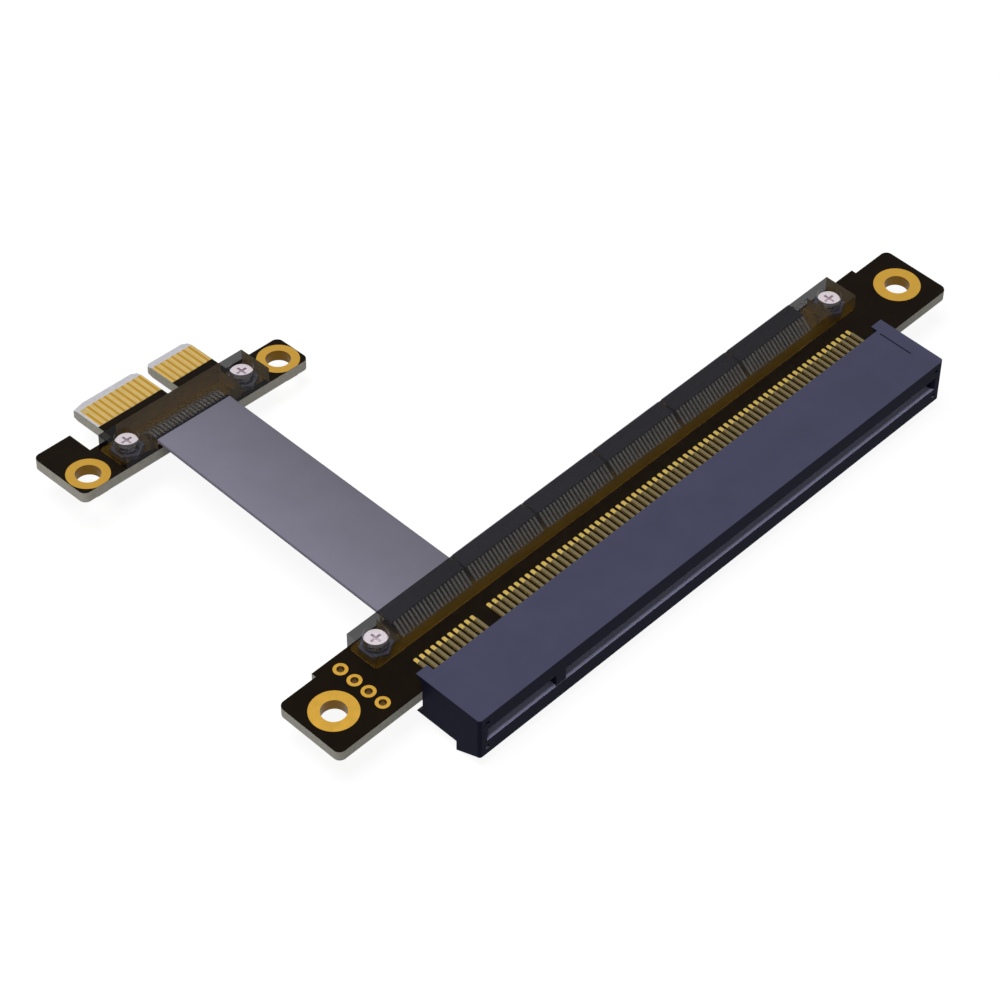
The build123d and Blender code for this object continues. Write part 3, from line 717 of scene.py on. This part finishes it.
class CableBoards(bpy.types.Operator):
    """Finishes both boards with solder mask and pale cut edges"""
    bl_idname = "cable.boards"
    bl_label = "Boards"

    def execute(self, context):
        colours = context.scene.cable_colours
        margin = context.scene.cable_sizes.bare_margin
        paint("plug_board", laminate_board(colours, "plug_masked_laminate",
                                           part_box("plug_fingers_top"), margin))
        paint("slot_board", laminate_board(colours, "slot_masked_laminate", None, 0))
        return {"FINISHED"}


class CableGold(bpy.types.Operator):
    """Plates the holes and fingers, and lays the contact pads, rings and ground areas"""
    bl_idname = "cable.gold"
    bl_label = "Gold plating"

    def execute(self, context):
        sizes = context.scene.cable_sizes
        colours = context.scene.cable_colours
        gold = plated_gold(colours, "immersion_gold_plating", colours.gold)
        soldered = plated_gold(colours, "immersion_gold_contact_pads", colours.pad)
        for node in ("slot_hole_platings", "plug_hole_platings"):
            paint(node, gold)
        first_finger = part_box("plug_fingers_top")[0].y + sizes.finger_width / 2
        fingers = finger_gold(colours, first_finger, sizes.pitch)
        paint("plug_fingers_top", fingers)
        paint("plug_fingers_bottom", fingers)
        bottom, top = (corner.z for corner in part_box("slot_board"))
        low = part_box("slot_contacts_top_near")[0]
        first = (low.x - sizes.tail_setback, low.y + sizes.contact_width / 2)
        for side, heights in (("top", (top, top + sizes.foil)),
                              ("bottom", (bottom - sizes.foil, bottom))):
            pads = pad_row("slot_pads_" + side, sizes, first, heights)
            finish_piece(pads, soldered)
        low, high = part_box("slot_cover")
        area = plate("slot_ground_area", (low.x + sizes.edge_gap, low.y, top),
                     (high.x, high.y, top + sizes.foil))
        trim_corners(area, sizes.edge_gap)
        finish_piece(area, gold)
        place = context.scene.cable_hang
        depth, half = sizes.plug_cover_depth, sizes.plug_cover_length / 2
        x, y = place.hinge[0], place.hinge[1] + sizes.plug_cover_offset
        area = plate("plug_ground_area", (x - depth, y - half, top),
                     (x - sizes.doorway_gap, y + half, top + sizes.foil))
        trim_corners(area, sizes.edge_gap)
        hang_piece(area, place)
        finish_piece(area, gold)
        rings = power_rings(sizes, (bottom - sizes.foil, top + sizes.foil))
        finish_piece(rings, gold)
        return {"FINISHED"}


class CableContacts(bpy.types.Operator):
    """Finishes the rows of contacts"""
    bl_idname = "cable.contacts"
    bl_label = "Contacts"

    def execute(self, context):
        metal = tinned_contact(context.scene.cable_colours)
        for side in ("top", "bottom"):
            for group in ("near", "far"):
                paint("slot_contacts_" + side + "_" + group, metal)
        return {"FINISHED"}


class CableHousing(bpy.types.Operator):
    """Finishes the moulded socket body"""
    bl_idname = "cable.housing"
    bl_label = "Housing"

    def execute(self, context):
        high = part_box("slot_housing")[1]
        sizes = context.scene.cable_sizes
        nylon = moulded_nylon(context.scene.cable_colours, sizes, high)
        paint("slot_housing", nylon)
        nose = key_nose(sizes, high)
        finish_piece(nose, nylon)
        return {"FINISHED"}


class CableRibbons(bpy.types.Operator):
    """Makes the ribbon and the stubs with rounded long edges"""
    bl_idname = "cable.ribbons"
    bl_label = "Ribbons"

    def execute(self, context):
        sizes = context.scene.cable_sizes
        place = context.scene.cable_hang
        colours = context.scene.cable_colours
        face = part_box("slot_cover")[0].x
        x, y, z = place.hinge
        half = Vector((0, sizes.ribbon_width, sizes.ribbon_thickness)) / 2
        low = Vector((x - sizes.plug_inset, y, z)) - half
        high = Vector((face + sizes.ribbon_inset, y, z)) + half
        ribbon = plate("ribbon_jacket", low, high)
        round_edges(ribbon, lambda a, b: abs(a.x - b.x) > NEAR, sizes.ribbon_round, segments=4)
        hang_end(ribbon, place, face)
        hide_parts("ribbon_cable")
        jacket = extruded_jacket(colours, "extruded_vinyl_ribbon", (low.y, high.y),
                                 sizes.wire_pitch)
        finish_piece(ribbon, jacket)
        low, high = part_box("ribbon_stubs")
        width = sizes.ribbon_width
        middle = (low.z + high.z) / 2
        first = low.y + (sizes.stub_width - width) / 2
        stubs = plate("stub_jackets", (low.x, first, middle - half.z),
                      (high.x, first + width, middle + half.z))
        round_edges(stubs, lambda a, b: abs(a.x - b.x) > NEAR, sizes.ribbon_round, segments=4)
        repeat(stubs, sizes.stub_count, (0, sizes.stub_pitch, 0))
        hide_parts("ribbon_stubs")
        jacket = extruded_jacket(colours, "extruded_vinyl_stubs", (low.y, high.y),
                                 sizes.wire_pitch)
        finish_piece(stubs, jacket)
        return {"FINISHED"}


class CableCovers(bpy.types.Operator):
    """Finishes the clear covers"""
    bl_idname = "cable.covers"
    bl_label = "Covers"

    def execute(self, context):
        colours = context.scene.cable_colours
        paint("slot_cover", smoke_acrylic(colours, "smoke_acrylic_slot_cover", (0, 0)))
        low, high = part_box("plug_fingers_top")
        span = (low.y, high.y - context.scene.cable_sizes.wall_margin)
        paint("plug_cover", smoke_acrylic(colours, "smoke_acrylic_plug_cover", span))
        return {"FINISHED"}


class CableWires(bpy.types.Operator):
    """Finishes the wires under the covers"""
    bl_idname = "cable.wires"
    bl_label = "Wires"

    def execute(self, context):
        tin = tinned_wire(context.scene.cable_colours)
        paint("slot_wires", tin)
        sizes = context.scene.cable_sizes
        place = context.scene.cable_hang
        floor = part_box("slot_board")[1].z
        wires = wire_row(sizes, place.hinge, floor)
        hang_piece(wires, place)
        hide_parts("plug_wires")
        finish_piece(wires, tin)
        return {"FINISHED"}


class CableFasteners(bpy.types.Operator):
    """Finishes the screws and spacers"""
    bl_idname = "cable.fasteners"
    bl_label = "Fasteners"

    def execute(self, context):
        steel = nickel_steel(context.scene.cable_colours)
        satin = nickel_spacer(context.scene.cable_colours)
        for end in ("slot", "plug"):
            paint(end + "_screws", steel)
            paint(end + "_spacers", satin)
        return {"FINISHED"}


def floor_paper(studio):
    """White paper: seen as white, kept from throwing light up under the boards."""
    material, tree, _ = blank("white_paper_floor")
    path = add(tree, "ShaderNodeLightPath").outputs
    seen = most(tree, [path["Is Camera Ray"], path["Is Glossy Ray"], path["Is Transmission Ray"]])
    lit = add(tree, "ShaderNodeBsdfDiffuse", {"Color": rgba([studio.paper_grey] * 3)})
    glow = add(tree, "ShaderNodeEmission", {"Color": rgba((1, 1, 1)),
                                            "Strength": studio.paper_glow})
    white = add(tree, "ShaderNodeAddShader", {0: lit.outputs[0], 1: glow.outputs[0]})
    dim = add(tree, "ShaderNodeBsdfDiffuse", {"Color": rgba([studio.paper_bounce] * 3)})
    close(tree, add(tree, "ShaderNodeMixShader", {0: seen, 1: dim.outputs[0], 2: white.outputs[0]}))
    return material


def studio_sky(studio):
    """A dim even sky for the parts, which the camera and the metal see as white."""
    world = bpy.data.worlds.new("studio_sky")
    bpy.context.scene.world = world
    world.use_nodes = True
    tree = world.node_tree
    tree.nodes.clear()
    path = add(tree, "ShaderNodeLightPath").outputs
    seen = most(tree, [path["Is Camera Ray"], path["Is Transmission Ray"], path["Is Glossy Ray"]])
    strength = add(tree, "ShaderNodeMapRange", {"Value": seen, "To Min": studio.sky_light,
                                                "To Max": studio.sky_white})
    sky = add(tree, "ShaderNodeBackground", {"Color": rgba((1, 1, 1)),
                                             "Strength": strength.outputs["Result"]})
    add(tree, "ShaderNodeOutputWorld", {"Surface": sky.outputs[0]})


def soft_lamp(studio):
    """A square area lamp overhead that faces the origin."""
    light = bpy.data.lights.new("overhead_lamp", "AREA")
    light.size = studio.lamp_size
    light.energy = studio.lamp_power
    lamp = bpy.data.objects.new("overhead_lamp", light)
    bpy.context.scene.collection.objects.link(lamp)
    lamp.location = studio.lamp_place
    lamp.rotation_euler = (-Vector(studio.lamp_place)).to_track_quat("-Z", "Y").to_euler()


def place_camera(view):
    """Puts the camera on its line of sight, turned about that line by the roll."""
    azimuth, elevation = math.radians(view.azimuth), math.radians(view.elevation)
    roll = math.radians(view.roll)
    ahead = Vector((math.sin(azimuth) * math.cos(elevation),
                    math.cos(azimuth) * math.cos(elevation), -math.sin(elevation)))
    right = Vector((math.cos(azimuth), -math.sin(azimuth), 0))
    up = right.cross(ahead)
    across = math.cos(roll) * right + math.sin(roll) * up
    above = math.cos(roll) * up - math.sin(roll) * right
    data = bpy.data.cameras.new("studio_camera")
    data.lens = view.lens
    data.clip_start = 0.01
    data.clip_end = 20
    camera = bpy.data.objects.new("studio_camera", data)
    bpy.context.scene.collection.objects.link(camera)
    turn = Matrix((across, above, -ahead)).transposed().to_4x4()
    camera.matrix_world = Matrix.Translation(Vector(view.target) - ahead * view.distance) @ turn
    bpy.context.scene.camera = camera


class CableStage(bpy.types.Operator):
    """Sets the floor, the sky, the lamps and the camera"""
    bl_idname = "cable.stage"
    bl_label = "Stage"

    def execute(self, context):
        studio = context.scene.cable_studio
        clear_selection()
        bpy.ops.mesh.primitive_plane_add(size=studio.paper_size, location=(0, 0, 0))
        floor = context.object
        floor.name = "paper_floor"
        floor.data.materials.append(floor_paper(studio))
        studio_sky(studio)
        soft_lamp(studio)
        place_camera(context.scene.cable_camera)
        context.scene.view_settings.view_transform = "Standard"
        return {"FINISHED"}


STEPS = (CableBoards, CableGold, CableContacts, CableHousing, CableRibbons, CableCovers,
         CableWires, CableFasteners, CableStage)


class CablePanel(bpy.types.Panel):
    """Lists the steps that dress the cable"""
    bl_idname = "VIEW3D_PT_cable"
    bl_label = "Card extension cable"
    bl_space_type = "VIEW_3D"
    bl_region_type = "UI"
    bl_category = "Cable"

    def draw(self, context):
        for step in STEPS:
            self.layout.operator(step.bl_idname)


GROUPS = (("cable_sizes", CableSizes), ("cable_hang", CableHang),
          ("cable_colours", CableColours), ("cable_camera", CableCamera),
          ("cable_studio", CableStudio))


def register():
    """Registers the property groups, the operators and the panel."""
    for name, group in GROUPS:
        bpy.utils.register_class(group)
        setattr(bpy.types.Scene, name, PointerProperty(type=group))
    for made in (*STEPS, CablePanel):
        bpy.utils.register_class(made)


def unregister():
    """Takes back what register did."""
    for made in reversed((*STEPS, CablePanel)):
        bpy.utils.unregister_class(made)
    for name, group in reversed(GROUPS):
        delattr(bpy.types.Scene, name)
        bpy.utils.unregister_class(group)


def main():
    """Registers the add-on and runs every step."""
    register()
    bpy.ops.cable.boards()
    bpy.ops.cable.gold()
    bpy.ops.cable.contacts()
    bpy.ops.cable.housing()
    bpy.ops.cable.ribbons()
    bpy.ops.cable.covers()
    bpy.ops.cable.wires()
    bpy.ops.cable.fasteners()
    bpy.ops.cable.stage()


if __name__ == "__main__":
    main()
